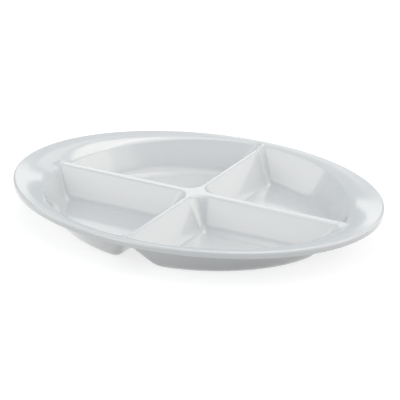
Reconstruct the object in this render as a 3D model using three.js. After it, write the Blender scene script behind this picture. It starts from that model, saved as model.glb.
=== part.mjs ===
// An oval serving tray of white melamine with four wells, in millimetres.
// X runs along the long divider, Y along the short one and Z up from the table.
// The origin is on the table, under the crossing of the dividers.
// The tray is one sheet of nearly even thickness, so every solid here is a patch of that sheet,
// and neighbours share the points and faces of the line where they meet.
import * as THREE from 'three';

// Overall size.
const trayLength = 320;
const trayWidth = 240;
const trayHeight = 31;
const sheetThickness = 3.5;

// Rim: a turned-down lip round a narrow flange that falls gently towards the wells.
const lipWidth = 4;
const lipDepth = 5.6;
const lipRound = 2;
const flangeEndWidth = 9;
const flangeSideWidth = 5;
const flangeFallDegrees = 7;

// Wells: a shoulder that is wide at the tray's ends and curves down to an edge,
// a sloping wall below that edge, and a soft turn into the floor.
const shoulderEndRadius = 52;
const shoulderSideRadius = 8;
const shoulderTurnDegrees = 32;
const wallDraftDegrees = 35;
const floorBlend = 6;
const cornerBlend = 7;

// Dividers: flat crowns below the rim, which meet in a flat hub whose corners sharpen downwards.
// The half widths reach to the sharp edges that the crowns would have without their rounding.
const crownDrop = 4;
const crownLongHalf = 3.5;
const crownShortHalf = 2.1;
const crownEndRadius = 5;
const hubRadius = 13;
const hubTaper = 0.6;
const hubLeastRadius = 3;

// Rounding of the crowns' and the shoulder's edges: on the upper face,
// and on the softer sheet that the under face follows.
const edgeRound = 2.5;
const hollowRound = 4;

// Where the sheet is parted: the line between the rim and the wells, and its corners.
const mouthEndWidth = 25;
const mouthSideWidth = 12;
const mouthCornerRadius = 8;
const floorCornerRadius = 16;

// Counts of facets.
const lineSteps = 5;
const cornerSteps = 3;
const arcSteps = 12;
const hubSteps = 4;
const acrossSteps = 6;
const wallShares = [0, 0.1, 0.2, 0.35, 0.55, 0.72, 0.86, 1];
const shoulderShares = [0.1, 0.4, 0.7];
const hubShares = [0.6, 0.3];
const floorShare = 0.5;

// Fineness of the search for a point's oval and of the slopes, and the limit for equal places.
const searchTurns = 48;
const hubTurns = 12;
const slopeStep = 0.01;
const sameWithin = 1e-6;

const degree = Math.PI / 180;
const halfLength = trayLength / 2;
const halfWidth = trayWidth / 2;
const shoulderLong = halfLength - flangeEndWidth;
const shoulderShort = halfWidth - flangeSideWidth;
const crestLong = halfLength - lipRound;
const crestShort = halfWidth - lipRound;
const mouthLong = halfLength - mouthEndWidth;
const mouthShort = halfWidth - mouthSideWidth;
const fallAngle = flangeFallDegrees * degree;
const shoulderAngle = shoulderTurnDegrees * degree;
const shoulderSlope = Math.tan(shoulderAngle);
const wallAngle = (90 - wallDraftDegrees) * degree;
const wallSlope = Math.tan(wallAngle);
const crownHeight = trayHeight - crownDrop;
const crownEdge = hollowRound * (Math.sin(wallAngle) - Math.tan(wallAngle / 2));

// The higher of two heights, with a smooth turn where they differ by less than the blend.
function smoothMax(first, second, blend) {
  const overlap = Math.max(blend - Math.abs(first - second), 0);
  return Math.max(first, second) + (overlap * overlap) / (4 * blend);
}

// The smaller of two distances, with a round corner of the radius where they are nearly equal.
function roundedMin(first, second, radius) {
  const difference = first - second;
  if (Math.abs(difference) >= radius) {
    return Math.min(first, second);
  }
  return (first + second + Math.sqrt(2 * radius * radius - difference * difference)) / 2 - radius;
}

// How far the oval through a point lies from the shoulder's oval: inward is above 0.
// Outside the shoulder the oval grows towards the lip's crest, and the result runs from 0 to -1 there.
function ovalInset(x, y) {
  const outside = (x / shoulderLong) ** 2 + (y / shoulderShort) ** 2 > 1;
  const growLong = outside ? crestLong - shoulderLong : -1;
  const growShort = outside ? crestShort - shoulderShort : -1;
  let low = 0;
  let high = outside ? 2 : shoulderShort - sameWithin;
  for (let turn = 0; turn < searchTurns; turn += 1) {
    const middle = (low + high) / 2;
    const shareLong = x / (shoulderLong + growLong * middle);
    const shareShort = y / (shoulderShort + growShort * middle);
    if ((shareLong ** 2 + shareShort ** 2 > 1) === outside) {
      low = middle;
    } else {
      high = middle;
    }
  }
  return outside ? -(low + high) / 2 : (low + high) / 2;
}

// The share of the turn round the tray at which a point lies, as an angle on the shoulder's oval.
function ovalTurn(x, y) {
  return Math.atan2(y / shoulderShort, x / shoulderLong);
}

// Height of the shoulder's edge: the flange falls evenly from the lip's crest, square to the oval.
function shoulderEdge(turn) {
  const squareX = Math.cos(turn) / shoulderLong;
  const squareY = Math.sin(turn) / shoulderShort;
  const wideX = (crestLong - shoulderLong) * Math.cos(turn);
  const wideY = (crestShort - shoulderShort) * Math.sin(turn);
  const width = (wideX * squareX + wideY * squareY) / Math.hypot(squareX, squareY);
  return trayHeight - Math.tan(fallAngle) * width;
}

// Radius of the shoulder, which changes smoothly from the tray's ends to its sides.
function shoulderRadius(turn) {
  return shoulderSideRadius + (shoulderEndRadius - shoulderSideRadius) * Math.cos(turn) ** 2;
}

// How far in from the shoulder's edge the straight wall starts, and how far below that edge.
function wallStart(radius) {
  return {
    inset: radius * (Math.sin(shoulderAngle) - Math.sin(fallAngle)),
    drop: radius * (Math.cos(fallAngle) - Math.cos(shoulderAngle)),
  };
}

// The difference in height at which shoulder and wall turn into each other, for a radius of their edge.
function mouthBlend(round) {
  const middle = (wallSlope + shoulderSlope) / 2;
  return (round * (wallSlope - shoulderSlope) ** 2) / (2 * (1 + middle ** 2) ** 1.5);
}

// Height of the rim and the outer wall, without floor and dividers, with their edge rounded by a radius.
function rimHeight(x, y, inset, round) {
  const turn = ovalTurn(x, y);
  const edge = shoulderEdge(turn);
  if (inset < 0) {
    return edge - (trayHeight - edge) * inset;
  }
  const radius = shoulderRadius(turn);
  const start = wallStart(radius);
  const sine = Math.min(inset / radius + Math.sin(fallAngle), Math.sin(shoulderAngle));
  const arc = edge - radius * (Math.cos(fallAngle) - Math.sqrt(1 - sine ** 2));
  const shoulder = arc - Math.max(inset - start.inset, 0) * shoulderSlope;
  const wall = edge - start.drop - (inset - start.inset) * wallSlope;
  return -smoothMax(-shoulder, -wall, mouthBlend(round));
}

// Radius of the hub's corners at a distance outside the crowns' sharp edges.
function hubCorner(distance) {
  return Math.max(hubRadius - hubTaper * distance, hubLeastRadius);
}

// How far a divider has fallen at a distance outside its crown's sharp edge, which is rounded by a radius.
function crownFall(distance, round) {
  const along = distance + round * Math.tan(wallAngle / 2);
  if (along <= 0) {
    return 0;
  }
  if (along < round * Math.sin(wallAngle)) {
    return round - Math.sqrt(round ** 2 - along ** 2);
  }
  return distance * wallSlope;
}

// Height of the two crossing dividers, whose ends turn down from the line where the wall starts.
function dividerHeight(x, y, inset, round) {
  const fromLong = Math.abs(y) - crownLongHalf;
  const fromShort = Math.abs(x) - crownShortHalf;
  let distance = Math.min(fromLong, fromShort);
  for (let turn = 0; turn < hubTurns; turn += 1) {
    distance = roundedMin(fromLong, fromShort, hubCorner(distance));
  }
  const reach = wallStart(shoulderRadius(ovalTurn(x, y))).inset;
  const sink = Math.max(reach - inset, 0) ** 2 / (2 * crownEndRadius);
  return crownHeight - sink - crownFall(distance, round);
}

// Height of the sheet's upper face, with its edges rounded by a radius.
function topHeight(x, y, round) {
  const inset = ovalInset(x, y);
  const rim = rimHeight(x, y, inset, round);
  if (inset < 0) {
    return rim;
  }
  const walls = smoothMax(rim, dividerHeight(x, y, inset, round), cornerBlend);
  return smoothMax(walls, sheetThickness, floorBlend);
}

// The points of the sheet's upper and under face at a place in plan.
// The under face lies a thickness below a sheet whose edges are softer, so its own edges stay round.
function sheetPoints([x, y]) {
  const soft = (stepX, stepY) => topHeight(x + stepX, y + stepY, hollowRound);
  const slopeX = (soft(slopeStep, 0) - soft(-slopeStep, 0)) / (2 * slopeStep);
  const slopeY = (soft(0, slopeStep) - soft(0, -slopeStep)) / (2 * slopeStep);
  const normal = new THREE.Vector3(-slopeX, -slopeY, 1).normalize();
  return {
    top: new THREE.Vector3(x, y, topHeight(x, y, edgeRound)),
    under: new THREE.Vector3(x, y, soft(0, 0)).addScaledVector(normal, -sheetThickness),
  };
}

// Points on an arc round a centre, from one angle to another, both ends counted.
function arcPoints(centre, radius, from, to, steps) {
  const points = [];
  for (let i = 0; i <= steps; i += 1) {
    const angle = from + ((to - from) * i) / steps;
    points.push([centre[0] + radius * Math.cos(angle), centre[1] + radius * Math.sin(angle)]);
  }
  return points;
}

// Points on a straight line, both ends counted.
function linePoints(from, to, steps) {
  const points = [];
  for (let i = 0; i <= steps; i += 1) {
    const share = i / steps;
    points.push([from[0] + (to[0] - from[0]) * share, from[1] + (to[1] - from[1]) * share]);
  }
  return points;
}

// Points on an oval round the origin.
function ovalPoints(halfLong, halfShort, from, to, steps) {
  return arcPoints([0, 0], 1, from, to, steps).map(([x, y]) => [x * halfLong, y * halfShort]);
}

// The distance over which a wall that starts at a height runs out below the floor's soft turn.
function wallRun(height) {
  return (height - sheetThickness + floorBlend + cornerBlend / 4) / wallSlope;
}

// How far the outer wall reaches in from the shoulder's oval, at an angle on that oval.
function outerReach(turn) {
  const { inset, drop } = wallStart(shoulderRadius(turn));
  return inset + wallRun(shoulderEdge(turn) - drop);
}

const dividerRun = wallRun(crownHeight - crownEdge * wallSlope);
const footLong = shoulderLong - outerReach(0);
const footShort = shoulderShort - outerReach(Math.PI / 2);

// The outline of the well in the quarter of +X and +Y, at a share of the way from its mouth to its floor.
// It runs counter-clockwise, in stretches whose ends are shared.
function wellOutline(share) {
  const out = crownEdge + dividerRun * share;
  const lineX = crownShortHalf + out;
  const lineY = crownLongHalf + out;
  const halfLong = THREE.MathUtils.lerp(mouthLong, footLong, share);
  const halfShort = THREE.MathUtils.lerp(mouthShort, footShort, share);
  const corner = THREE.MathUtils.lerp(mouthCornerRadius, floorCornerRadius, share);
  const innerLong = halfLong - corner;
  const innerShort = halfShort - corner;
  const endY = lineY + corner;
  const sideX = lineX + corner;
  const endCentre = [innerLong * Math.sqrt(1 - (endY / innerShort) ** 2), endY];
  const sideCentre = [sideX, innerShort * Math.sqrt(1 - (sideX / innerLong) ** 2)];
  const normalAt = ([x, y]) => Math.atan2(y / innerShort ** 2, x / innerLong ** 2);
  const endTurn = arcPoints(endCentre, corner, -Math.PI / 2, normalAt(endCentre), cornerSteps);
  const sideTurn = arcPoints(sideCentre, corner, normalAt(sideCentre), Math.PI, cornerSteps);
  const ovalAngle = ([x, y]) => Math.atan2(y / halfShort, x / halfLong);
  const outerFrom = ovalAngle(endTurn.at(-1));
  const outerTo = ovalAngle(sideTurn[0]);
  const outer = ovalPoints(halfLong, halfShort, outerFrom, outerTo, arcSteps);
  endTurn[endTurn.length - 1] = outer[0];
  sideTurn[0] = outer.at(-1);
  const hubTurn = hubCorner(out);
  const hub = arcPoints([lineX + hubTurn, lineY + hubTurn], hubTurn, Math.PI, Math.PI * 1.5, hubSteps);
  const alongLong = linePoints(hub.at(-1), endTurn[0], lineSteps);
  const alongShort = linePoints(sideTurn.at(-1), hub[0], lineSteps);
  return { alongLong, endTurn, outer, sideTurn, alongShort, hub };
}

// One closed loop from stretches whose ends are shared.
function joinStretches(stretches) {
  return stretches.flatMap((stretch) => stretch.slice(0, -1));
}

// The quarters of the tray, counter-clockwise, with the signs that mirror the first into them.
const quarters = [
  { name: 'back_right', signs: [1, 1] },
  { name: 'back_left', signs: [-1, 1] },
  { name: 'front_left', signs: [-1, -1] },
  { name: 'front_right', signs: [1, -1] },
];

// A list of plan points mirrored into a quarter, in the order that stays counter-clockwise.
function mirrored(points, [signX, signY]) {
  const moved = points.map(([x, y]) => [signX * x, signY * y]);
  return signX * signY > 0 ? moved : moved.reverse();
}

// A patch in plan: its points, and triangles that run counter-clockwise.
class Patch {
  constructor() {
    this.points = [];
    this.triangles = [];
  }

  // Adds points and gives their numbers.
  add(points) {
    return points.map((point) => this.points.push(point) - 1);
  }

  // Fills the band between two rows of numbers; the second row lies to the left of the first.
  band(right, left) {
    for (let i = 0; i + 1 < right.length; i += 1) {
      this.triangles.push([right[i], right[i + 1], left[i + 1]], [right[i], left[i + 1], left[i]]);
    }
  }

  // Fills the rings between closed loops, from the outermost to the innermost.
  rings(loops) {
    const rows = loops.map((loop) => this.add(loop));
    const closed = rows.map((row) => [...row, row[0]]);
    for (let i = 0; i + 1 < closed.length; i += 1) {
      this.band(closed[i], closed[i + 1]);
    }
    return rows.at(-1);
  }

  // Closes a loop of numbers to one middle point.
  fan(row, middle) {
    const [centre] = this.add([middle]);
    row.forEach((number, i) => this.triangles.push([number, row[(i + 1) % row.length], centre]));
  }
}

// A counter-clockwise loop shrunk towards a middle point.
function shrunk(loop, middle, share) {
  return loop.map(([x, y]) => [middle[0] + (x - middle[0]) * share, middle[1] + (y - middle[1]) * share]);
}

// The two triangles of a strip between two stations, cut along the diagonal that its neighbour also takes.
function stripTriangles(under, top, i, j, plan) {
  const stepX = plan[j][0] - plan[i][0];
  const stepY = plan[j][1] - plan[i][1];
  const iFirst = Math.abs(stepX) > sameWithin ? stepX > 0 : stepY > 0;
  if (iFirst) {
    return [[under[i], under[j], top[j]], [under[i], top[j], top[i]]];
  }
  return [[under[i], under[j], top[i]], [under[j], top[j], top[i]]];
}

// Geometry of a list of triangles, each of three points.
function geometryOf(triangles) {
  const values = triangles.flatMap((corners) => corners.flatMap((corner) => corner.toArray()));
  const geometry = new THREE.BufferGeometry();
  geometry.setAttribute('position', new THREE.Float32BufferAttribute(values, 3));
  geometry.computeVertexNormals();
  return geometry;
}

// The solid of the sheet over a patch: upper face, under face and the edges that close it.
function sheetSolid(patch) {
  const pairs = patch.points.map(sheetPoints);
  const top = pairs.map((pair) => pair.top);
  const under = pairs.map((pair) => pair.under);
  const triangles = [];
  const edges = new Set();
  for (const [a, b, c] of patch.triangles) {
    triangles.push([top[a], top[b], top[c]], [under[c], under[b], under[a]]);
    [[a, b], [b, c], [c, a]].forEach(([from, to]) => edges.add(`${from},${to}`));
  }
  for (const edge of edges) {
    const [from, to] = edge.split(',').map(Number);
    if (!edges.has(`${to},${from}`)) {
      triangles.push(...stripTriangles(under, top, from, to, patch.points));
    }
  }
  return geometryOf(triangles);
}

const tray = new THREE.Group();

// Adds a solid of moulded white melamine to the tray under its name.
function addSolid(name, geometry) {
  const material = new THREE.MeshStandardMaterial({ color: 0xf0f2f3, roughness: 0.2, metalness: 0 });
  const mesh = new THREE.Mesh(geometry, material);
  mesh.name = name;
  tray.add(mesh);
}

const mouth = wellOutline(0);

// The ends of the dividers on the mouth's oval, counter-clockwise, for +X and for +Y.
const endAngle = Math.atan2(mouth.outer[0][1] / mouthShort, mouth.outer[0][0] / mouthLong);
const sideAngle = Math.atan2(mouth.outer.at(-1)[1] / mouthShort, mouth.outer.at(-1)[0] / mouthLong);
const endRow = ovalPoints(mouthLong, mouthShort, -endAngle, endAngle, acrossSteps);
const sideRow = ovalPoints(mouthLong, mouthShort, sideAngle, Math.PI - sideAngle, acrossSteps);
endRow[0] = [mouth.outer[0][0], -mouth.outer[0][1]];
endRow[acrossSteps] = mouth.outer[0];
sideRow[0] = mouth.outer.at(-1);
sideRow[acrossSteps] = [-mouth.outer.at(-1)[0], mouth.outer.at(-1)[1]];

// The whole line between the rim and the wells, counter-clockwise from the end of +X.
function mouthLoop() {
  const turned = (row) => row.map(([x, y]) => [-x, -y]);
  const ends = [sideRow, turned(endRow), turned(sideRow), endRow];
  return joinStretches(quarters.flatMap(({ signs }, i) => [mirrored(mouth.outer, signs), ends[i]]));
}

// Every point of a loop moved to another oval, on the same share of the turn.
function onOval(loop, halfLong, halfShort) {
  return loop.map(([x, y]) => {
    const angle = Math.atan2(y / mouthShort, x / mouthLong);
    return [halfLong * Math.cos(angle), halfShort * Math.sin(angle)];
  });
}

// Flange: from the lip's inner side over the shoulder to the mouths of the wells.
const innerLoop = mouthLoop();
const lipLoop = onOval(innerLoop, halfLength - lipWidth, halfWidth - lipWidth);
const shoulderLoops = shoulderShares.map((share) => onOval(
  innerLoop,
  THREE.MathUtils.lerp(shoulderLong, mouthLong, share),
  THREE.MathUtils.lerp(shoulderShort, mouthShort, share),
));
const middleLoop = onOval(
  innerLoop,
  (shoulderLong + halfLength - lipWidth) / 2,
  (shoulderShort + halfWidth - lipWidth) / 2,
);
const flange = new Patch();
flange.rings([lipLoop, middleLoop, ...shoulderLoops, innerLoop]);
addSolid('rim_flange', sheetSolid(flange));

// Lip: a ring whose section is rounded at the outside and joins the flange's edge on the inside.
function lipSection(plan, angle) {
  const { top, under } = sheetPoints(plan);
  const at = (inset, height) => new THREE.Vector3(
    (halfLength - inset) * Math.cos(angle),
    (halfWidth - inset) * Math.sin(angle),
    height,
  );
  const edgeTop = trayHeight;
  const edgeFoot = trayHeight - lipDepth;
  const round = (share) => lipRound * (1 - Math.sin(share * 90 * degree));
  const outside = [0, 0.5, 1].map((share) => at(round(share), edgeTop - round(1 - share)));
  const below = [0, 0.5, 1].map((share) => at(round(1 - share), edgeFoot + round(share)));
  const inner = at(lipWidth - lipRound / 2, edgeFoot);
  return [top, ...outside, ...below, inner, under];
}

const lipSections = lipLoop.map((plan) => {
  const angle = Math.atan2(plan[1] / (halfWidth - lipWidth), plan[0] / (halfLength - lipWidth));
  return lipSection(plan, angle);
});
const lipTriangles = [];
lipSections.forEach((section, i) => {
  const j = (i + 1) % lipSections.length;
  const next = lipSections[j];
  for (let k = 0; k + 1 < section.length; k += 1) {
    lipTriangles.push([section[k], section[k + 1], next[k + 1]], [section[k], next[k + 1], next[k]]);
  }
  const tops = lipSections.map((points) => points[0]);
  const unders = lipSections.map((points) => points.at(-1));
  lipTriangles.push(...stripTriangles(unders, tops, j, i, lipLoop));
});
addSolid('rim_lip', geometryOf(lipTriangles));

// Hub: the flat star where the dividers cross. Its straight edges meet the dividers' arms.
const [backHalf, backEnd] = mouth.hub[0];
const [rightEnd, rightHalf] = mouth.hub.at(-1);
const hubEdges = [
  linePoints([backHalf, backEnd], [-backHalf, backEnd], acrossSteps),
  linePoints([-rightEnd, rightHalf], [-rightEnd, -rightHalf], acrossSteps),
  linePoints([-backHalf, -backEnd], [backHalf, -backEnd], acrossSteps),
  linePoints([rightEnd, -rightHalf], [rightEnd, rightHalf], acrossSteps),
];
const hubLoop = joinStretches(quarters.flatMap(({ signs }, i) => {
  return [mirrored(mouth.hub, signs).reverse(), hubEdges[i]];
}));
const hub = new Patch();
const hubLoops = hubShares.map((share) => shrunk(hubLoop, [0, 0], share));
hub.fan(hub.rings([hubLoop, ...hubLoops]), [0, 0]);
addSolid('divider_hub', sheetSolid(hub));

// Arms: each divider from the hub to its flared end on the shoulder.
function armPatch(side, end, turn) {
  const patch = new Patch();
  const rows = side.map(([along, half], i) => {
    const row = i + 1 < side.length ? linePoints([along, -half], [along, half], acrossSteps) : end;
    return patch.add(row.map(turn));
  });
  for (let i = 0; i + 1 < rows.length; i += 1) {
    patch.band(rows[i + 1], rows[i]);
  }
  return patch;
}

const longSide = [...mouth.alongLong.slice(0, -1), ...mouth.endTurn];
const shortSide = [...mouth.alongShort.slice(1).reverse(), ...mouth.sideTurn.slice().reverse()];
const swapped = (points) => points.map(([x, y]) => [y, x]);
const shortEnd = swapped(sideRow).reverse();
addSolid('divider_arm_right', sheetSolid(armPatch(longSide, endRow, ([x, y]) => [x, y])));
addSolid('divider_arm_left', sheetSolid(armPatch(longSide, endRow, ([x, y]) => [-x, -y])));
addSolid('divider_arm_back', sheetSolid(armPatch(swapped(shortSide), shortEnd, ([x, y]) => [-y, x])));
addSolid('divider_arm_front', sheetSolid(armPatch(swapped(shortSide), shortEnd, ([x, y]) => [y, -x])));

// Wells: a sloping wall and a flat floor in each quarter.
function outlineLoop(share) {
  return joinStretches(Object.values(wellOutline(share)));
}

const wallLoops = wallShares.map(outlineLoop);
const floorMiddle = [
  wallLoops.at(-1).reduce((sum, [x]) => sum + x, 0) / wallLoops.at(-1).length,
  wallLoops.at(-1).reduce((sum, [, y]) => sum + y, 0) / wallLoops.at(-1).length,
];
for (const { name, signs } of quarters) {
  const loops = wallLoops.map((loop) => mirrored(loop, signs));
  const wall = new Patch();
  wall.rings(loops);
  addSolid(`well_wall_${name}`, sheetSolid(wall));

  const floor = new Patch();
  const middle = [floorMiddle[0] * signs[0], floorMiddle[1] * signs[1]];
  floor.fan(floor.rings([loops.at(-1), shrunk(loops.at(-1), middle, floorShare)]), middle);
  addSolid(`well_floor_${name}`, sheetSolid(floor));
}

export default tray;
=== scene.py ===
"""An oval serving tray of glossy white melamine with four wells, dressed for its portrait.

The tray is one moulding, so its pieces are regions of one smooth sheet. Neighbours share the points
and the surface normals of the line where they meet, and no joint shows.
"""

import logging
import math
from dataclasses import dataclass, field
from enum import Enum

import bpy
import numpy as np
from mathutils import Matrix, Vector


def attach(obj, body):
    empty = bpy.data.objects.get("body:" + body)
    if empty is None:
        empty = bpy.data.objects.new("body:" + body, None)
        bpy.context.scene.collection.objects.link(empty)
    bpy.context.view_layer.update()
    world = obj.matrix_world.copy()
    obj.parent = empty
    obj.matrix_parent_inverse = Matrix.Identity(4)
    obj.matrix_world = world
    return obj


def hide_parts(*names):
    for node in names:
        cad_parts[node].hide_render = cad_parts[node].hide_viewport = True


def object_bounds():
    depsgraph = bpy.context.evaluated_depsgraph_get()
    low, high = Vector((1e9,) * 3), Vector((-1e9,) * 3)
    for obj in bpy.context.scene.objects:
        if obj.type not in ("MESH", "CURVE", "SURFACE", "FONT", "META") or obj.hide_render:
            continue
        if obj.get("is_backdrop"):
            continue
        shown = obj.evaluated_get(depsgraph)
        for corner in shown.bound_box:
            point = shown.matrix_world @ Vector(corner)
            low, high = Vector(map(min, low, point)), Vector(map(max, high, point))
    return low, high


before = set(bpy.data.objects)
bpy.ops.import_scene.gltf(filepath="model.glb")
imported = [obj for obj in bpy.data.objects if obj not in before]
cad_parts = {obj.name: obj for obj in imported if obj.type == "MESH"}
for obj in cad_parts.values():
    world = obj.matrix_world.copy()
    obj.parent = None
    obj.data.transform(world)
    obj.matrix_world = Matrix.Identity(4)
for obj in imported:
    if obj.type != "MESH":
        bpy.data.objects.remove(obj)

LOG = logging.getLogger("tray")
MM = 0.001
BODY = "root"
TINY = 1e-12


class Quarter(Enum):
    """The four wells, each with the signs that mirror the first quarter into it."""

    BACK_RIGHT = (1, 1)
    BACK_LEFT = (-1, 1)
    FRONT_LEFT = (-1, -1)
    FRONT_RIGHT = (1, -1)

    @property
    def label(self) -> str:
        """The quarter's name in the node names."""
        return self.name.lower()

    def mirror(self, loop: np.ndarray) -> np.ndarray:
        """Mirrors plan points of the first quarter into this one.

        Args:
            loop: Plan points in counter-clockwise order.

        Returns:
            The mirrored points, still in counter-clockwise order.
        """
        moved = loop * np.array(self.value, dtype=float)
        return moved if self.value[0] * self.value[1] > 0 else moved[::-1]


class Arm(Enum):
    """The four arms of the dividers, each with the turn from the +X arm's frame."""

    RIGHT = ((1, 0), (0, 1))
    LEFT = ((-1, 0), (0, -1))
    BACK = ((0, -1), (1, 0))
    FRONT = ((0, 1), (-1, 0))

    @property
    def label(self) -> str:
        """The arm's name in the node names."""
        return self.name.lower()

    @property
    def is_long(self) -> bool:
        """Whether the arm lies along the tray's long axis."""
        return self in (Arm.RIGHT, Arm.LEFT)

    def turn(self, row: np.ndarray) -> np.ndarray:
        """Turns plan points from the +X arm's frame into this arm's place."""
        return row @ np.array(self.value, dtype=float).T


# The arms in the order that goes with Quarter: round the tray, each comes after its quarter.
ARMS_ROUND = (Arm.BACK, Arm.LEFT, Arm.FRONT, Arm.RIGHT)


def smooth_max(first: np.ndarray, second: np.ndarray, blend: np.ndarray | float) -> np.ndarray:
    """The higher of two heights, with a smooth turn where they are nearly equal.

    Args:
        first: One surface's heights.
        second: The other surface's heights.
        blend: The difference in height under which the surfaces turn into each other.

    Returns:
        The heights of the joined surface.
    """
    overlap = np.maximum(blend - np.abs(first - second), 0.0)
    return np.maximum(first, second) + overlap * overlap / (4.0 * blend)


def rounded_min(first: np.ndarray, second: np.ndarray, radius: np.ndarray) -> np.ndarray:
    """The smaller of two distances, with round corners where they are nearly equal.

    Args:
        first: Distances from one line.
        second: Distances from the line square to it.
        radius: Radius of the round corner at each point.

    Returns:
        The joined distances.
    """
    difference = first - second
    root = np.sqrt(np.maximum(2.0 * radius * radius - difference * difference, 0.0))
    rounded = (first + second + root) / 2.0 - radius
    return np.where(np.abs(difference) < radius, rounded, np.minimum(first, second))


@dataclass(frozen=True)
class SheetForm:
    """Shape of the moulded sheet, in metres.

    The lengths across the whole tray come from the frame. The others are those of its solids.
    """

    half_length: float
    half_width: float
    height: float
    thickness: float = 3.5 * MM
    lip_width: float = 4.0 * MM
    lip_depth: float = 5.6 * MM
    lip_round: float = 2.0 * MM
    flange_end_width: float = 9.0 * MM
    flange_side_width: float = 5.0 * MM
    flange_fall: float = math.radians(7.0)
    shoulder_end_radius: float = 52.0 * MM
    shoulder_side_radius: float = 8.0 * MM
    shoulder_turn: float = math.radians(32.0)
    wall_angle: float = math.radians(55.0)
    floor_blend: float = 6.0 * MM
    corner_blend: float = 7.0 * MM
    crown_drop: float = 4.0 * MM
    crown_long_half: float = 3.5 * MM
    crown_short_half: float = 2.1 * MM
    crown_end_radius: float = 5.0 * MM
    hub_radius: float = 13.0 * MM
    hub_taper: float = 0.6
    hub_least_radius: float = 3.0 * MM
    edge_round: float = 2.5 * MM
    hollow_round: float = 4.0 * MM
    mouth_end_width: float = 25.0 * MM
    mouth_side_width: float = 12.0 * MM
    mouth_corner: float = 8.0 * MM
    floor_corner: float = 16.0 * MM
    search_turns: int = 48
    search_reach: float = 2.0
    hub_turns: int = 12
    slope_step: float = 0.01 * MM

    @classmethod
    def from_box(cls, low: Vector, high: Vector) -> "SheetForm":
        """Takes the overall size from the frame's box.

        Args:
            low: The box's lowest corner.
            high: The box's highest corner.

        Returns:
            The form of that size.
        """
        return cls((high[0] - low[0]) / 2.0, (high[1] - low[1]) / 2.0, high[2] - low[2])

    @property
    def outer_edge(self) -> np.ndarray:
        """Half axes of the oval round the whole tray."""
        return np.array([self.half_length, self.half_width])

    @property
    def crest(self) -> np.ndarray:
        """Half axes of the oval along the top of the lip."""
        return self.outer_edge - self.lip_round

    @property
    def lip_inside(self) -> np.ndarray:
        """Half axes of the oval on which the flange gives way to the lip."""
        return self.outer_edge - self.lip_width

    @property
    def shoulder(self) -> np.ndarray:
        """Half axes of the oval along which the flange turns down."""
        return self.outer_edge - np.array([self.flange_end_width, self.flange_side_width])

    @property
    def mouth(self) -> np.ndarray:
        """Half axes of the oval on which the rim gives way to the wells."""
        return self.outer_edge - np.array([self.mouth_end_width, self.mouth_side_width])

    @property
    def wall_slope(self) -> float:
        """Rise of the walls over their run."""
        return math.tan(self.wall_angle)

    @property
    def crown_height(self) -> float:
        """Height of the dividers' crowns."""
        return self.height - self.crown_drop

    @property
    def crown_edge(self) -> float:
        """Distance outside a crown's sharp edge at which both faces of the divider are straight."""
        return self.hollow_round * (math.sin(self.wall_angle) - math.tan(self.wall_angle / 2.0))

    def oval_inset(self, x: np.ndarray, y: np.ndarray) -> np.ndarray:
        """How far inside the shoulder's oval points lie.

        Args:
            x: Places along the long axis.
            y: Places along the short axis.

        Returns:
            Metres inside the shoulder, or outside it a share from 0 down to -1 at the lip's crest.
        """
        long, short = self.shoulder
        outside = (x / long) ** 2 + (y / short) ** 2 > 1.0
        grow_long = np.where(outside, self.crest[0] - long, -1.0)
        grow_short = np.where(outside, self.crest[1] - short, -1.0)
        low = np.zeros_like(x)
        high = np.where(outside, self.search_reach, short - self.slope_step)
        for _ in range(self.search_turns):
            middle = (low + high) / 2.0
            share = (x / (long + grow_long * middle)) ** 2 + (y / (short + grow_short * middle)) ** 2
            further = (share > 1.0) == outside
            low = np.where(further, middle, low)
            high = np.where(further, high, middle)
        return np.where(outside, -1.0, 1.0) * (low + high) / 2.0

    def oval_turn(self, x: np.ndarray, y: np.ndarray) -> np.ndarray:
        """The angles on the shoulder's oval at which points lie."""
        return np.arctan2(y / self.shoulder[1], x / self.shoulder[0])

    def shoulder_edge(self, turn: np.ndarray) -> np.ndarray:
        """Height of the shoulder's edge.

        Args:
            turn: Angles on the shoulder's oval.

        Returns:
            The heights at those angles.
        """
        square_x = np.cos(turn) / self.shoulder[0]
        square_y = np.sin(turn) / self.shoulder[1]
        wide = self.crest - self.shoulder
        width = wide[0] * np.cos(turn) * square_x + wide[1] * np.sin(turn) * square_y
        return self.height - math.tan(self.flange_fall) * width / np.hypot(square_x, square_y)

    def shoulder_radius(self, turn: np.ndarray) -> np.ndarray:
        """Radius of the shoulder, which changes smoothly from the tray's ends to its sides."""
        span = self.shoulder_end_radius - self.shoulder_side_radius
        return self.shoulder_side_radius + span * np.cos(turn) ** 2

    def wall_start(self, radius: np.ndarray) -> tuple[np.ndarray, np.ndarray]:
        """Where the straight wall starts under a shoulder.

        Args:
            radius: The shoulder's radius.

        Returns:
            How far in from the shoulder's edge, and how far below it.
        """
        inset = radius * (math.sin(self.shoulder_turn) - math.sin(self.flange_fall))
        drop = radius * (math.cos(self.flange_fall) - math.cos(self.shoulder_turn))
        return inset, drop

    def mouth_blend(self, rounding: float) -> float:
        """Difference in height at which shoulder and wall turn into each other.

        Args:
            rounding: The radius of the edge between them.

        Returns:
            The difference in height.
        """
        shallow = math.tan(self.shoulder_turn)
        middle = (self.wall_slope + shallow) / 2.0
        return rounding * (self.wall_slope - shallow) ** 2 / (2.0 * (1.0 + middle**2) ** 1.5)

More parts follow.
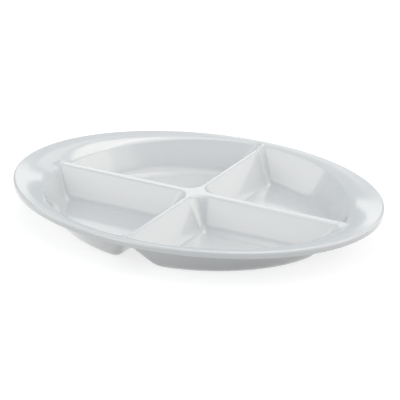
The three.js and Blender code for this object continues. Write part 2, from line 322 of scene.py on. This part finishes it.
    def rim_height(self, x: np.ndarray, y: np.ndarray, inset: np.ndarray, rounding: float) -> np.ndarray:
        """Height of the flange, the shoulder and the outer wall.

        Args:
            x: Places along the long axis.
            y: Places along the short axis.
            inset: Their insets from the shoulder's oval.
            rounding: The radius of the edge between shoulder and wall.

        Returns:
            The heights without floor and dividers.
        """
        turn = self.oval_turn(x, y)
        edge = self.shoulder_edge(turn)
        radius = self.shoulder_radius(turn)
        start, drop = self.wall_start(radius)
        sine = np.clip(inset / radius + math.sin(self.flange_fall), -1.0, math.sin(self.shoulder_turn))
        arc = edge - radius * (math.cos(self.flange_fall) - np.sqrt(1.0 - sine * sine))
        shoulder = arc - np.maximum(inset - start, 0.0) * math.tan(self.shoulder_turn)
        wall = edge - drop - (inset - start) * self.wall_slope
        flange = edge - (self.height - edge) * inset
        return np.where(inset < 0.0, flange, -smooth_max(-shoulder, -wall, self.mouth_blend(rounding)))

    def hub_corner(self, distance: np.ndarray) -> np.ndarray:
        """Radius of the hub's corners, which shrinks with the distance from the crowns."""
        return np.maximum(self.hub_radius - self.hub_taper * distance, self.hub_least_radius)

    def crown_fall(self, distance: np.ndarray, rounding: float) -> np.ndarray:
        """How far a divider has fallen at distances outside its crown's sharp edge.

        Args:
            distance: The distances, below 0 on the crown.
            rounding: The radius that rounds the edge.

        Returns:
            The falls from the crown's height.
        """
        along = distance + rounding * math.tan(self.wall_angle / 2.0)
        inside = np.clip(along, 0.0, rounding * math.sin(self.wall_angle))
        round_part = rounding - np.sqrt(rounding**2 - inside**2)
        return np.where(along > inside, distance * self.wall_slope, round_part)

    def divider_height(
        self, x: np.ndarray, y: np.ndarray, inset: np.ndarray, rounding: float
    ) -> np.ndarray:
        """Height of the two crossing dividers, whose ends turn down where the wall starts.

        Args:
            x: Places along the long axis.
            y: Places along the short axis.
            inset: Their insets from the shoulder's oval.
            rounding: The radius of the edges.

        Returns:
            The heights of the dividers alone.
        """
        from_long = np.abs(y) - self.crown_long_half
        from_short = np.abs(x) - self.crown_short_half
        distance = np.minimum(from_long, from_short)
        for _ in range(self.hub_turns):
            distance = rounded_min(from_long, from_short, self.hub_corner(distance))
        reach, _ = self.wall_start(self.shoulder_radius(self.oval_turn(x, y)))
        sink = np.maximum(reach - inset, 0.0) ** 2 / (2.0 * self.crown_end_radius)
        return self.crown_height - sink - self.crown_fall(distance, rounding)

    def top_height(self, x: np.ndarray, y: np.ndarray, rounding: float) -> np.ndarray:
        """Height of the sheet's upper face.

        Args:
            x: Places along the long axis.
            y: Places along the short axis.
            rounding: The radius of the edges.

        Returns:
            The heights.
        """
        inset = self.oval_inset(x, y)
        rim = self.rim_height(x, y, inset, rounding)
        divider = self.divider_height(x, y, np.maximum(inset, 0.0), rounding)
        walls = smooth_max(rim, divider, self.corner_blend)
        return np.where(inset < 0.0, rim, smooth_max(walls, self.thickness, self.floor_blend))

    def face_at(self, plan: np.ndarray, rounding: float) -> tuple[np.ndarray, np.ndarray]:
        """The upper face at places in plan.

        Args:
            plan: Plan points, one per row.
            rounding: The radius of the edges.

        Returns:
            The points of the face and its normals.
        """
        x, y = plan[:, 0], plan[:, 1]
        step = self.slope_step
        rise_x = self.top_height(x + step, y, rounding) - self.top_height(x - step, y, rounding)
        rise_y = self.top_height(x, y + step, rounding) - self.top_height(x, y - step, rounding)
        points = np.column_stack([x, y, self.top_height(x, y, rounding)])
        normals = np.column_stack([-rise_x, -rise_y, np.full_like(x, 2.0 * step)])
        return points, normals / np.linalg.norm(normals, axis=1, keepdims=True)

    def top_at(self, plan: np.ndarray) -> tuple[np.ndarray, np.ndarray]:
        """The points and normals of the sheet's upper face."""
        return self.face_at(plan, self.edge_round)

    def under_at(self, plan: np.ndarray) -> tuple[np.ndarray, np.ndarray]:
        """The points and normals of the sheet's under face, a thickness below a softer sheet."""
        points, normals = self.face_at(plan, self.hollow_round)
        return points - normals * self.thickness, -normals


def arc_points(
    centre: tuple[float, float], radius: float, start: float, end: float, steps: int
) -> np.ndarray:
    """Points on an arc, both ends counted.

    Args:
        centre: The arc's centre in plan.
        radius: The arc's radius.
        start: The first angle.
        end: The last angle.
        steps: The number of steps between them.

    Returns:
        The plan points.
    """
    angles = np.linspace(start, end, steps + 1)
    return np.array(centre) + radius * np.column_stack([np.cos(angles), np.sin(angles)])


def line_points(start: np.ndarray, end: np.ndarray, steps: int) -> np.ndarray:
    """Points on a straight line, both ends counted.

    Args:
        start: The first plan point.
        end: The last plan point.
        steps: The number of steps between them.

    Returns:
        The plan points.
    """
    share = np.linspace(0.0, 1.0, steps + 1)[:, None]
    return start + (end - start) * share


def join_stretches(stretches: list[np.ndarray]) -> np.ndarray:
    """One closed loop from stretches whose ends are shared."""
    return np.vstack([stretch[:-1] for stretch in stretches])


@dataclass(frozen=True)
class TrayPlan:
    """The lines in plan along which the sheet is parted into its pieces."""

    form: SheetForm
    line_steps: int = 26
    corner_steps: int = 14
    arc_steps: int = 60
    hub_steps: int = 20
    across_steps: int = 26

    def wall_run(self, height: float) -> float:
        """Distance over which a wall that starts at a height runs out below the floor's soft turn."""
        form = self.form
        return (height - form.thickness + form.floor_blend + form.corner_blend / 4.0) / form.wall_slope

    def outer_reach(self, turn: float) -> float:
        """How far the outer wall reaches in from the shoulder's oval.

        Args:
            turn: The angle on that oval.

        Returns:
            The reach at that angle.
        """
        angle = np.array(turn)
        start, drop = self.form.wall_start(self.form.shoulder_radius(angle))
        return float(start) + self.wall_run(float(self.form.shoulder_edge(angle) - drop))

    def outline(self, share: float) -> dict[str, np.ndarray]:
        """The outline of the first quarter's well, at a share of the way from its mouth to its floor.

        Args:
            share: 0 at the mouth and 1 at the floor.

        Returns:
            The stretches of the outline by name, counter-clockwise, with shared ends.
        """
        form = self.form
        wall_top = form.crown_height - form.crown_edge * form.wall_slope
        out = form.crown_edge + self.wall_run(wall_top) * share
        line_x = form.crown_short_half + out
        line_y = form.crown_long_half + out
        foot = form.shoulder - np.array([self.outer_reach(0.0), self.outer_reach(math.pi / 2.0)])
        half = form.mouth + (foot - form.mouth) * share
        corner = form.mouth_corner + (form.floor_corner - form.mouth_corner) * share
        inner = half - corner
        end_y = line_y + corner
        side_x = line_x + corner
        end_centre = (inner[0] * math.sqrt(1.0 - (end_y / inner[1]) ** 2), end_y)
        side_centre = (side_x, inner[1] * math.sqrt(1.0 - (side_x / inner[0]) ** 2))

        def square_to_oval(centre: tuple[float, float]) -> float:
            """Angle of the oval's normal at a corner's centre."""
            return math.atan2(centre[1] / inner[1] ** 2, centre[0] / inner[0] ** 2)

        end_angle = square_to_oval(end_centre)
        side_angle = square_to_oval(side_centre)
        end_turn = arc_points(end_centre, corner, -math.pi / 2.0, end_angle, self.corner_steps)
        side_turn = arc_points(side_centre, corner, side_angle, math.pi, self.corner_steps)
        first = math.atan2(end_turn[-1, 1] / half[1], end_turn[-1, 0] / half[0])
        last = math.atan2(side_turn[0, 1] / half[1], side_turn[0, 0] / half[0])
        outer = arc_points((0.0, 0.0), 1.0, first, last, self.arc_steps) * half
        end_turn[-1] = outer[0]
        side_turn[0] = outer[-1]
        turn = float(form.hub_corner(np.array(out)))
        hub = arc_points((line_x + turn, line_y + turn), turn, math.pi, math.pi * 1.5, self.hub_steps)
        along_long = line_points(hub[-1], end_turn[0], self.line_steps)
        along_short = line_points(side_turn[-1], hub[0], self.line_steps)
        return {
            "along_long": along_long,
            "end_turn": end_turn,
            "outer": outer,
            "side_turn": side_turn,
            "along_short": along_short,
            "hub": hub,
        }

    def well_loop(self, share: float) -> np.ndarray:
        """The closed outline of the first quarter's well, at a share of the way to its floor."""
        return join_stretches(list(self.outline(share).values()))

    def arm_end(self, long_arm: bool) -> np.ndarray:
        """The end of an arm on the mouth's oval, in the +X arm's frame.

        Args:
            long_arm: Whether the arm lies along the tray's long axis.

        Returns:
            Plan points from the arm's right side to its left side.
        """
        outer = self.outline(0.0)["outer"]
        tip = outer[0] if long_arm else outer[-1][::-1]
        half = self.form.mouth if long_arm else self.form.mouth[::-1]
        angle = math.atan2(tip[1] / half[1], tip[0] / half[0])
        row = arc_points((0.0, 0.0), 1.0, -angle, angle, self.across_steps) * half
        row[0] = tip * np.array([1.0, -1.0])
        row[-1] = tip
        return row

    def mouth_loop(self) -> np.ndarray:
        """The whole line between the rim and the wells.

        Returns:
            Plan points on the mouth's oval, counter-clockwise.
        """
        outer = self.outline(0.0)["outer"]
        stretches = []
        for quarter, arm in zip(Quarter, ARMS_ROUND):
            stretches.append(quarter.mirror(outer))
            stretches.append(arm.turn(self.arm_end(arm.is_long)))
        return join_stretches(stretches)

    def on_oval(self, loop: np.ndarray, half: np.ndarray) -> np.ndarray:
        """Moves every point of the mouth's loop to another oval, on the same share of the turn."""
        angle = np.arctan2(loop[:, 1] / self.form.mouth[1], loop[:, 0] / self.form.mouth[0])
        return np.column_stack([half[0] * np.cos(angle), half[1] * np.sin(angle)])


@dataclass
class Patch:
    """A patch of the sheet in plan: its points and its faces, counter-clockwise."""

    rows: list[np.ndarray] = field(default_factory=list)
    faces: list[tuple[int, ...]] = field(default_factory=list)
    count: int = 0

    def add(self, row: np.ndarray) -> list[int]:
        """Adds plan points.

        Args:
            row: The points, one per row.

        Returns:
            Their numbers.
        """
        self.rows.append(row)
        self.count += len(row)
        return list(range(self.count - len(row), self.count))

    def band(self, right: list[int], left: list[int]) -> None:
        """Fills the band between two rows of numbers; the second lies to the left of the first."""
        for i in range(len(right) - 1):
            self.faces.append((right[i], right[i + 1], left[i + 1], left[i]))

    def rings(self, loops: list[np.ndarray]) -> list[int]:
        """Fills the rings between closed loops.

        Args:
            loops: The loops, from the outermost to the innermost.

        Returns:
            The numbers of the innermost loop.
        """
        numbers = [self.add(loop) for loop in loops]
        for outer, inner in zip(numbers, numbers[1:]):
            self.band(outer + outer[:1], inner + inner[:1])
        return numbers[-1]

    def fan(self, row: list[int], middle: np.ndarray) -> None:
        """Closes a loop to one middle point.

        Args:
            row: The numbers of the loop's points.
            middle: The middle point in plan.
        """
        (centre,) = self.add(middle[None, :])
        for first, second in zip(row, row[1:] + row[:1]):
            self.faces.append((first, second, centre))

    def border(self) -> list[tuple[int, int]]:
        """The edges on the patch's border, with the patch on their left."""
        edges = {edge for face in self.faces for edge in zip(face, face[1:] + face[:1])}
        return sorted(edge for edge in edges if edge[::-1] not in edges)


@dataclass
class Skin:
    """A closed mesh with a normal for every corner of its faces."""

    points: np.ndarray
    normals: np.ndarray
    smooth_faces: list[tuple[int, ...]]
    joint_faces: list[tuple[int, ...]]

    @classmethod
    def of_patch(cls, form: SheetForm, patch: Patch) -> "Skin":
        """The sheet over a patch: upper face, under face and the joints that close it.

        Args:
            form: The sheet's shape.
            patch: The patch in plan.

        Returns:
            The closed skin.
        """
        plan = np.vstack(patch.rows)
        top, top_normals = form.top_at(plan)
        under, under_normals = form.under_at(plan)
        count = len(top)
        flipped = [tuple(number + count for number in face[::-1]) for face in patch.faces]
        joints = [(i + count, j + count, j, i) for i, j in patch.border()]
        points = np.vstack([top, under])
        return cls(points, np.vstack([top_normals, under_normals]), patch.faces + flipped, joints)

    def make(self, name: str) -> bpy.types.Object:
        """Makes the Blender object, shaded by the skin's own normals.

        Args:
            name: The object's name.

        Returns:
            The object, linked to the scene.
        """
        mesh = bpy.data.meshes.new(name)
        mesh.from_pydata(self.points.tolist(), [], self.smooth_faces + self.joint_faces)
        mesh.polygons.foreach_set("use_smooth", [True] * len(mesh.polygons))
        corners = [self.normals[number] for face in self.smooth_faces for number in face]
        for polygon in list(mesh.polygons)[len(self.smooth_faces):]:
            corners.extend([np.array(polygon.normal)] * len(polygon.vertices))
        mesh.normals_split_custom_set(np.array(corners).tolist())
        mesh.update()
        piece = bpy.data.objects.new(name, mesh)
        bpy.context.scene.collection.objects.link(piece)
        return piece


@dataclass(frozen=True)
class MelamineFinish:
    """Glossy white melamine: a hard clear face with faint ripples and a worn base."""

    name: str = "white_melamine"
    colour: tuple[float, float, float] = (0.65, 0.657, 0.668)
    deep_colour: tuple[float, float, float] = (0.63, 0.639, 0.652)
    roughness: tuple[float, float] = (0.12, 0.2)
    ior: float = 1.6
    coat: float = 1.0
    coat_roughness: float = 0.1
    base_roughness: float = 0.5
    base_height: float = 0.6 * MM
    cloud_scale: float = 14.0
    cloud_detail: float = 4.0
    grain_scale: float = 900.0
    grain_detail: float = 3.0
    ripple_scale: float = 90.0
    ripple_detail: float = 2.0
    ripple_height: float = 0.02 * MM
    noise_range: tuple[float, float] = (0.3, 0.7)

    def build(self) -> bpy.types.Material:
        """Makes the node material.

        Returns:
            The material.
        """
        material = bpy.data.materials.new(self.name)
        material.use_nodes = True
        nodes = material.node_tree.nodes
        links = material.node_tree.links
        shader = nodes["Principled BSDF"]
        shader.inputs["IOR"].default_value = self.ior
        shader.inputs["Coat Weight"].default_value = self.coat
        shader.inputs["Coat Roughness"].default_value = self.coat_roughness
        place = nodes.new("ShaderNodeTexCoord")

        def noise(scale: float, detail: float) -> bpy.types.Node:
            """Adds a noise texture in the tray's own frame.

            Args:
                scale: About how many of its larger shapes fit in a metre.
                detail: How many finer layers it has.

            Returns:
                The texture's node.
            """
            texture = nodes.new("ShaderNodeTexNoise")
            texture.inputs["Scale"].default_value = scale
            texture.inputs["Detail"].default_value = detail
            links.new(place.outputs["Object"], texture.inputs["Vector"])
            return texture

        def spread(source: bpy.types.NodeSocket, low: float, high: float) -> bpy.types.NodeSocket:
            """Maps a noise's middle range to a range of values.

            Args:
                source: The noise.
                low: The value at the lower end.
                high: The value at the upper end.

            Returns:
                The socket that holds the value.
            """
            mapping = nodes.new("ShaderNodeMapRange")
            mapping.inputs["From Min"].default_value = self.noise_range[0]
            mapping.inputs["From Max"].default_value = self.noise_range[1]
            mapping.inputs["To Min"].default_value = low
            mapping.inputs["To Max"].default_value = high
            links.new(source, mapping.inputs["Value"])
            return mapping.outputs["Result"]

        cloud = noise(self.cloud_scale, self.cloud_detail)
        tint = nodes.new("ShaderNodeMix")
        tint.data_type = "RGBA"
        tint.inputs["A"].default_value = (*self.deep_colour, 1.0)
        tint.inputs["B"].default_value = (*self.colour, 1.0)
        links.new(spread(cloud.outputs["Fac"], 0.0, 1.0), tint.inputs["Factor"])
        links.new(tint.outputs["Result"], shader.inputs["Base Color"])

        grain = noise(self.grain_scale, self.grain_detail)
        polish = spread(grain.outputs["Fac"], *self.roughness)
        split = nodes.new("ShaderNodeSeparateXYZ")
        links.new(place.outputs["Object"], split.inputs["Vector"])
        worn = nodes.new("ShaderNodeMapRange")
        worn.inputs["From Min"].default_value = 0.0
        worn.inputs["From Max"].default_value = self.base_height
        worn.inputs["To Min"].default_value = self.base_roughness
        worn.inputs["To Max"].default_value = 0.0
        links.new(split.outputs["Z"], worn.inputs["Value"])
        rough = nodes.new("ShaderNodeMath")
        rough.operation = "MAXIMUM"
        links.new(polish, rough.inputs[0])
        links.new(worn.outputs["Result"], rough.inputs[1])
        links.new(rough.outputs["Value"], shader.inputs["Roughness"])

        ripple = noise(self.ripple_scale, self.ripple_detail)
        bump = nodes.new("ShaderNodeBump")
        bump.inputs["Strength"].default_value = 1.0
        bump.inputs["Distance"].default_value = self.ripple_height
        links.new(ripple.outputs["Fac"], bump.inputs["Height"])
        links.new(bump.outputs["Normal"], shader.inputs["Normal"])
        return material


@dataclass
class Region:
    """A region of the moulding: it makes its pieces and dresses them."""

    plan: TrayPlan
    finish: bpy.types.Material

    @property
    def form(self) -> SheetForm:
        """The sheet's shape."""
        return self.plan.form

    def dress(self, skin: Skin, node: str) -> bpy.types.Object:
        """Makes a piece, gives it the finish and puts it in its node's place.

        Args:
            skin: The piece's mesh.
            node: The CAD node that the piece stands for.

        Returns:
            The piece.
        """
        piece = skin.make(f"moulded_{node}")
        piece.data.materials.append(self.finish)
        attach(piece, BODY)
        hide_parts(node)
        LOG.info("%s stands for %s", piece.name, node)
        return piece


@dataclass
class Rim(Region):
    """The flange with its shoulder, and the turned-down lip round it."""

    flange_rows: int = 12
    shoulder_rows: int = 32
    crest_shares: tuple[float, ...] = (0.25, 0.5, 0.75)
    round_steps: int = 8
    face_steps: int = 4
    sole_steps: int = 2
    foot_round: float = 1.2 * MM

    def flange(self) -> Skin:
        """The flange from the lip's inner side to the mouths of the wells.

        Returns:
            Its closed skin.
        """
        form = self.form
        mouth = self.plan.mouth_loop()
        flange_shares = np.linspace(0.0, 1.0, self.flange_rows + 1)[:-1]
        shoulder_shares = 1.0 - np.linspace(1.0, 0.0, self.shoulder_rows)[:-1] ** 2
        ovals = [form.lip_inside + (form.shoulder - form.lip_inside) * share for share in flange_shares]
        ovals.extend(form.shoulder + (form.mouth - form.shoulder) * share for share in shoulder_shares)
        patch = Patch()
        patch.rings([self.plan.on_oval(mouth, oval) for oval in ovals] + [mouth])
        return Skin.of_patch(form, patch)

    def lip_profile(self) -> np.ndarray:
        """The lip's section between the flange's two faces.

        Returns:
            Rows of inset from the outer edge and height, from the crest round to the inner foot.
        """
        form = self.form
        foot = form.height - form.lip_depth
        inner_at = form.lip_width - self.foot_round / 2.0
        quarter = np.linspace(0.0, math.pi / 2.0, self.round_steps + 1)
        fading = 1.0 - np.sin(quarter)
        growing = 1.0 - np.cos(quarter)
        crest = np.column_stack([form.lip_round * fading, form.height - form.lip_round * growing])
        heights = np.linspace(crest[-1, 1], foot + self.foot_round, self.face_steps + 1)[1:-1]
        face = np.column_stack([np.zeros_like(heights), heights])
        turn_in = np.column_stack([self.foot_round * growing, foot + self.foot_round * fading])
        insets = np.linspace(self.foot_round, inner_at - self.foot_round, self.sole_steps + 1)[1:]
        sole = np.column_stack([insets, np.full_like(insets, foot)])
        turn_up = np.column_stack([inner_at - self.foot_round * fading, foot + self.foot_round * growing])
        return np.vstack([crest, face, turn_in, sole, turn_up[1:]])

    def lip_rows(self, mouth: np.ndarray) -> list[np.ndarray]:
        """The rows of points round the lip, between the flange's two faces.

        Args:
            mouth: The line between the rim and the wells, whose points the rows follow.

        Returns:
            The rows, from the flange's upper face over the crest and the foot to its under face.
        """
        form = self.form
        rows = []
        for share in self.crest_shares:
            oval = form.lip_inside + (form.crest - form.lip_inside) * share
            rows.append(form.top_at(self.plan.on_oval(mouth, oval))[0])
        for inset, height in self.lip_profile():
            ring = self.plan.on_oval(mouth, form.outer_edge - inset)
            rows.append(np.column_stack([ring, np.full(len(ring), height)]))
        return rows

    def lip(self) -> Skin:
        """The turned-down lip as a closed ring.

        Returns:
            Its closed skin.
        """
        form = self.form
        mouth = self.plan.mouth_loop()
        inside = self.plan.on_oval(mouth, form.lip_inside)
        top, top_normals = form.top_at(inside)
        under, under_normals = form.under_at(inside)
        grid = np.stack([top, *self.lip_rows(mouth), under])
        around = np.roll(grid, -1, axis=1) - np.roll(grid, 1, axis=1)
        along = np.gradient(grid, axis=0)
        shade = np.cross(along, around)
        shade /= np.maximum(np.linalg.norm(shade, axis=2, keepdims=True), TINY)
        shade[0] = top_normals
        shade[-1] = under_normals
        depth, count = grid.shape[:2]
        faces = []
        for k in range(depth - 1):
            for i in range(count):
                j = (i + 1) % count
                faces.append((k * count + i, (k + 1) * count + i, (k + 1) * count + j, k * count + j))
        last = (depth - 1) * count
        joints = [(last + i, i, (i + 1) % count, last + (i + 1) % count) for i in range(count)]
        return Skin(grid.reshape(-1, 3), shade.reshape(-1, 3), faces, joints)

    def build(self) -> list[bpy.types.Object]:
        """Makes the flange and the lip."""
        return [self.dress(self.flange(), "rim_flange"), self.dress(self.lip(), "rim_lip")]


@dataclass
class Dividers(Region):
    """The crossing dividers: a flat hub and four round-topped arms."""

    hub_rows: int = 12

    def hub(self) -> Skin:
        """The flat star where the dividers cross.

        Returns:
            Its closed skin.
        """
        arc = self.plan.outline(0.0)["hub"]
        stretches = []
        for quarter, arm in zip(Quarter, ARMS_ROUND):
            far, half = arc[-1] if arm.is_long else arc[0][::-1]
            edge = line_points(np.array([far, -half]), np.array([far, half]), self.plan.across_steps)
            stretches.extend([quarter.mirror(arc)[::-1], arm.turn(edge)])
        loop = join_stretches(stretches)
        shares = np.linspace(1.0, 0.0, self.hub_rows + 1)[:-1]
        patch = Patch()
        patch.fan(patch.rings([loop * share for share in shares]), np.zeros(2))
        return Skin.of_patch(self.form, patch)

    def arm(self, arm: Arm) -> Skin:
        """One arm from the hub to its flared end on the shoulder.

        Args:
            arm: The arm.

        Returns:
            Its closed skin.
        """
        stretches = self.plan.outline(0.0)
        if arm.is_long:
            side = np.vstack([stretches["along_long"][:-1], stretches["end_turn"]])
        else:
            side = np.vstack([stretches["along_short"][:0:-1], stretches["side_turn"][::-1]])[:, ::-1]
        patch = Patch()
        numbers = []
        for along, half in side[:-1]:
            row = line_points(np.array([along, -half]), np.array([along, half]), self.plan.across_steps)
            numbers.append(patch.add(arm.turn(row)))
        numbers.append(patch.add(arm.turn(self.plan.arm_end(arm.is_long))))
        for near, far in zip(numbers, numbers[1:]):
            patch.band(far, near)
        return Skin.of_patch(self.form, patch)

    def build(self) -> list[bpy.types.Object]:
        """Makes the hub and the arms.

        Returns:
            The pieces.
        """
        pieces = [self.dress(self.hub(), "divider_hub")]
        pieces.extend(self.dress(self.arm(arm), f"divider_arm_{arm.label}") for arm in Arm)
        return pieces


@dataclass
class Wells(Region):
    """The four wells: sloping walls and flat floors."""

    wall_rows: int = 72
    end_crowding: float = 0.75
    floor_shares: tuple[float, ...] = (0.75, 0.5, 0.25)

    def wall(self, quarter: Quarter) -> Skin:
        """The sloping wall of one well, with its rows crowded towards mouth and floor.

        Args:
            quarter: The well's quarter.

        Returns:
            Its closed skin.
        """
        even = np.linspace(0.0, 1.0, self.wall_rows)
        shares = even - self.end_crowding * np.sin(math.tau * even) / math.tau
        patch = Patch()
        patch.rings([quarter.mirror(self.plan.well_loop(share)) for share in shares])
        return Skin.of_patch(self.form, patch)

    def floor(self, quarter: Quarter) -> Skin:
        """The flat floor of one well.

        Args:
            quarter: The well's quarter.

        Returns:
            Its closed skin.
        """
        loop = quarter.mirror(self.plan.well_loop(1.0))
        middle = loop.mean(axis=0)
        rings = [loop]
        rings.extend(middle + (loop - middle) * share for share in self.floor_shares)
        patch = Patch()
        patch.fan(patch.rings(rings), middle)
        return Skin.of_patch(self.form, patch)

    def build(self) -> list[bpy.types.Object]:
        """Makes the walls and the floors.

        Returns:
            The pieces.
        """
        pieces = []
        for quarter in Quarter:
            pieces.append(self.dress(self.wall(quarter), f"well_wall_{quarter.label}"))
            pieces.append(self.dress(self.floor(quarter), f"well_floor_{quarter.label}"))
        return pieces


def direction(azimuth: float, elevation: float) -> Vector:
    """The direction from the tray to a place round it.

    Args:
        azimuth: Degrees from the front, towards the right.
        elevation: Degrees above the table.

    Returns:
        A vector of length 1.
    """
    turn = math.radians(azimuth)
    lift = math.radians(elevation)
    level = math.cos(lift)
    return Vector((math.sin(turn) * level, -math.cos(turn) * level, math.sin(lift)))


def aim(item: bpy.types.Object, target: Vector, away: Vector) -> None:
    """Puts a lamp or a camera in its place, points it at the target and links it to the scene.

    Args:
        item: The lamp or the camera.
        target: The point to look at.
        away: The way from the target to the item's place.
    """
    item.location = target + away
    item.rotation_euler = away.to_track_quat("Z", "Y").to_euler()
    bpy.context.scene.collection.objects.link(item)


@dataclass(frozen=True)
class Lamp:
    """A soft oblong studio lamp that points at the tray, in degrees, metres and watts."""

    name: str
    azimuth: float
    elevation: float
    size: tuple[float, float]
    power: float
    distance: float = 1.6
    colour: tuple[float, float, float] = (1.0, 0.94, 0.86)

    def build(self, target: Vector) -> bpy.types.Object:
        """Places the lamp.

        Args:
            target: The point that it lights.

        Returns:
            The lamp.
        """
        data = bpy.data.lights.new(self.name, "AREA")
        data.shape = "RECTANGLE"
        data.size, data.size_y = self.size
        data.energy = self.power
        data.color = self.colour
        lamp = bpy.data.objects.new(self.name, data)
        aim(lamp, target, direction(self.azimuth, self.elevation) * self.distance)
        return lamp


@dataclass(frozen=True)
class Studio:
    """The white floor, the lamps, the sky and the camera."""

    azimuth: float = 29.7
    elevation: float = 22.41
    distance: float = 1.6
    focal_pixels: float = 1962.0
    image_pixels: float = 400.0
    middle_pixel: tuple[float, float] = (195.4, 186.9)
    sensor: float = 36.0
    clip: tuple[float, float] = (0.05, 50.0)
    floor_size: float = 8.0
    floor_colour: tuple[float, float, float] = (0.4, 0.4, 0.4)
    floor_glow: float = 0.75
    sky_colour: tuple[float, float, float] = (0.84, 0.93, 1.0)
    sky_strength: float = 0.6
    # The lamps light the tray, and the screens fill in what its gloss mirrors.
    lamps: tuple[Lamp, ...] = (
        Lamp("left_lamp", azimuth=-54.0, elevation=26.0, size=(1.8, 1.1), power=7.4),
        Lamp("front_lamp", azimuth=-24.0, elevation=12.0, size=(0.9, 0.4), power=2.6),
        Lamp("right_lamp", azimuth=88.0, elevation=30.0, size=(2.0, 1.3), power=7.0),
        Lamp("back_lamp", azimuth=190.0, elevation=60.0, size=(0.6, 0.6), power=2.0),
        Lamp("low_back_lamp", azimuth=198.0, elevation=36.0, size=(0.6, 0.4), power=0.4),
        Lamp("horizon_screen", azimuth=209.0, elevation=21.0, size=(0.65, 0.2), power=0.36),
        Lamp("corner_screen", azimuth=147.0, elevation=20.0, size=(0.9, 0.9), power=2.2),
        Lamp("right_screen", azimuth=115.0, elevation=28.0, size=(1.2, 1.2), power=3.8),
        Lamp("top_screen", azimuth=0.0, elevation=89.0, size=(1.5, 1.5), power=6.0),
    )

    def camera(self, target: Vector) -> bpy.types.Object:
        """Places the camera so that the target falls on its pixel of the square image.

        Args:
            target: The middle of the rim's top.

        Returns:
            The camera.
        """
        data = bpy.data.cameras.new("camera")
        data.sensor_width = self.sensor
        data.lens = self.focal_pixels / self.image_pixels * self.sensor
        half = self.image_pixels / 2.0
        data.shift_x = (half - self.middle_pixel[0]) / self.image_pixels
        data.shift_y = (self.middle_pixel[1] - half) / self.image_pixels
        data.clip_start, data.clip_end = self.clip
        camera = bpy.data.objects.new("camera", data)
        aim(camera, target, direction(self.azimuth, self.elevation) * self.distance)
        bpy.context.scene.camera = camera
        return camera

    def seen_directly(self, nodes: bpy.types.Nodes, links: bpy.types.NodeLinks) -> bpy.types.NodeSocket:
        """A value that is 1 for camera, glossy and transmission rays.

        Args:
            nodes: The tree's nodes.
            links: The tree's links.

        Returns:
            The socket that holds the value.
        """
        path = nodes.new("ShaderNodeLightPath")
        seen = path.outputs["Is Camera Ray"]
        for ray in ("Is Glossy Ray", "Is Transmission Ray"):
            either = nodes.new("ShaderNodeMath")
            either.operation = "MAXIMUM"
            links.new(seen, either.inputs[0])
            links.new(path.outputs[ray], either.inputs[1])
            seen = either.outputs["Value"]
        return seen

    def sky(self) -> None:
        """A plain pale sky that lights softly from all round."""
        world = bpy.data.worlds.new("studio_sky")
        world.use_nodes = True
        bpy.context.scene.world = world
        light = world.node_tree.nodes["Background"]
        light.inputs["Color"].default_value = (*self.sky_colour, 1.0)
        light.inputs["Strength"].default_value = self.sky_strength

    def floor(self) -> bpy.types.Object:
        """The white floor, which keeps the tray's shadow.

        Returns:
            The floor.
        """
        half = self.floor_size / 2.0
        mesh = bpy.data.meshes.new("studio_floor")
        corners = [(-half, -half, 0.0), (half, -half, 0.0), (half, half, 0.0), (-half, half, 0.0)]
        mesh.from_pydata(corners, [], [(0, 1, 2, 3)])
        floor = bpy.data.objects.new("studio_floor", mesh)
        bpy.context.scene.collection.objects.link(floor)
        material = bpy.data.materials.new("white_paper")
        material.use_nodes = True
        nodes, links = material.node_tree.nodes, material.node_tree.links
        nodes.remove(nodes["Principled BSDF"])
        paper = nodes.new("ShaderNodeBsdfDiffuse")
        paper.inputs["Color"].default_value = (*self.floor_colour, 1.0)
        glow = nodes.new("ShaderNodeEmission")
        strength = nodes.new("ShaderNodeMath")
        strength.operation = "MULTIPLY"
        strength.inputs[1].default_value = self.floor_glow
        links.new(self.seen_directly(nodes, links), strength.inputs[0])
        links.new(strength.outputs["Value"], glow.inputs["Strength"])
        both = nodes.new("ShaderNodeAddShader")
        links.new(paper.outputs["BSDF"], both.inputs[0])
        links.new(glow.outputs["Emission"], both.inputs[1])
        links.new(both.outputs["Shader"], nodes["Material Output"].inputs["Surface"])
        mesh.materials.append(material)
        floor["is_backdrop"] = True
        return floor

    def build(self, target: Vector) -> None:
        """Builds the whole studio round the tray.

        Args:
            target: The middle of the rim's top.
        """
        bpy.context.scene.view_settings.view_transform = "Standard"
        self.sky()
        self.floor()
        for lamp in self.lamps:
            lamp.build(target)
        self.camera(target)


def main() -> None:
    """Builds the tray's regions and the studio, sized from the frame's box."""
    logging.basicConfig(level=logging.INFO, format="%(name)s: %(message)s")
    cad_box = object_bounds()
    form = SheetForm.from_box(*cad_box)
    plan = TrayPlan(form)
    finish = MelamineFinish().build()
    for region in (Rim(plan, finish), Dividers(plan, finish), Wells(plan, finish)):
        region.build()
    Studio().build(Vector((0.0, 0.0, form.height)))


if __name__ == "__main__":
    main()
